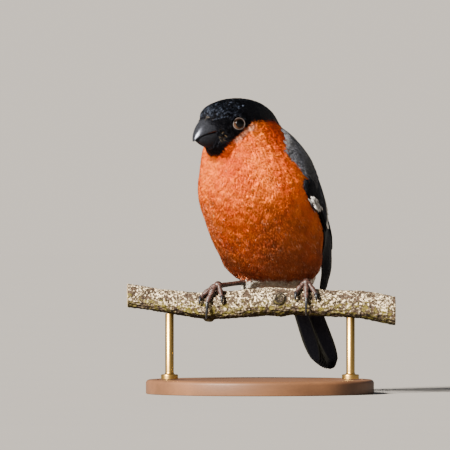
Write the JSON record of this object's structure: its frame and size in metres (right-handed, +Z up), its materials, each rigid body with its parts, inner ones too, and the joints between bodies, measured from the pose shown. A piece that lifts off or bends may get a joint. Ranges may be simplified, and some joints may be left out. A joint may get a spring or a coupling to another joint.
{
  "type": "bullfinch figure",
  "caption": "Life-size male bullfinch gripping a short cut branch, head turned to its right, on a round wooden base with slim rods under the branch.",
  "frame": {"origin": "centre of the underside of the stand's round base", "axes": "+Z up, +X along the perch towards the bird's left foot, -Y the way the breast faces in the picture's view"},
  "size_m": [0.1127, 0.1048, 0.1243],
  "materials": {
    "black_cap": "glossy black feathers, blue sheen",
    "red_breast": "soft orange-red feathers",
    "black_vane": "satin black flight feathers",
    "white_down": "soft white feathers",
    "dark_horn": "polished dark horn",
    "eye": "wet dark brown eye",
    "leg_scale": "brown scaled skin",
    "bark": "grey-brown bark with lichen",
    "oiled_wood": "oiled hardwood",
    "brass": "satin"
  },
  "bodies": {
    "root": {"head": "black_cap", "neck": "red_breast", "torso": "red_breast", "bill_upper": "dark_horn", "bill_lower": "dark_horn", "eye_left": "eye", "eye_right": "eye", "wing_left": "black_vane", "wing_right": "black_vane", "tail": "black_vane", "thigh_left": "white_down", "thigh_right": "white_down", "leg_left": "leg_scale", "leg_right": "leg_scale", "perch": "bark", "stand_base": "oiled_wood", "stand_rod_left": "brass", "stand_rod_right": "brass"}
  },
  "joints": []
}
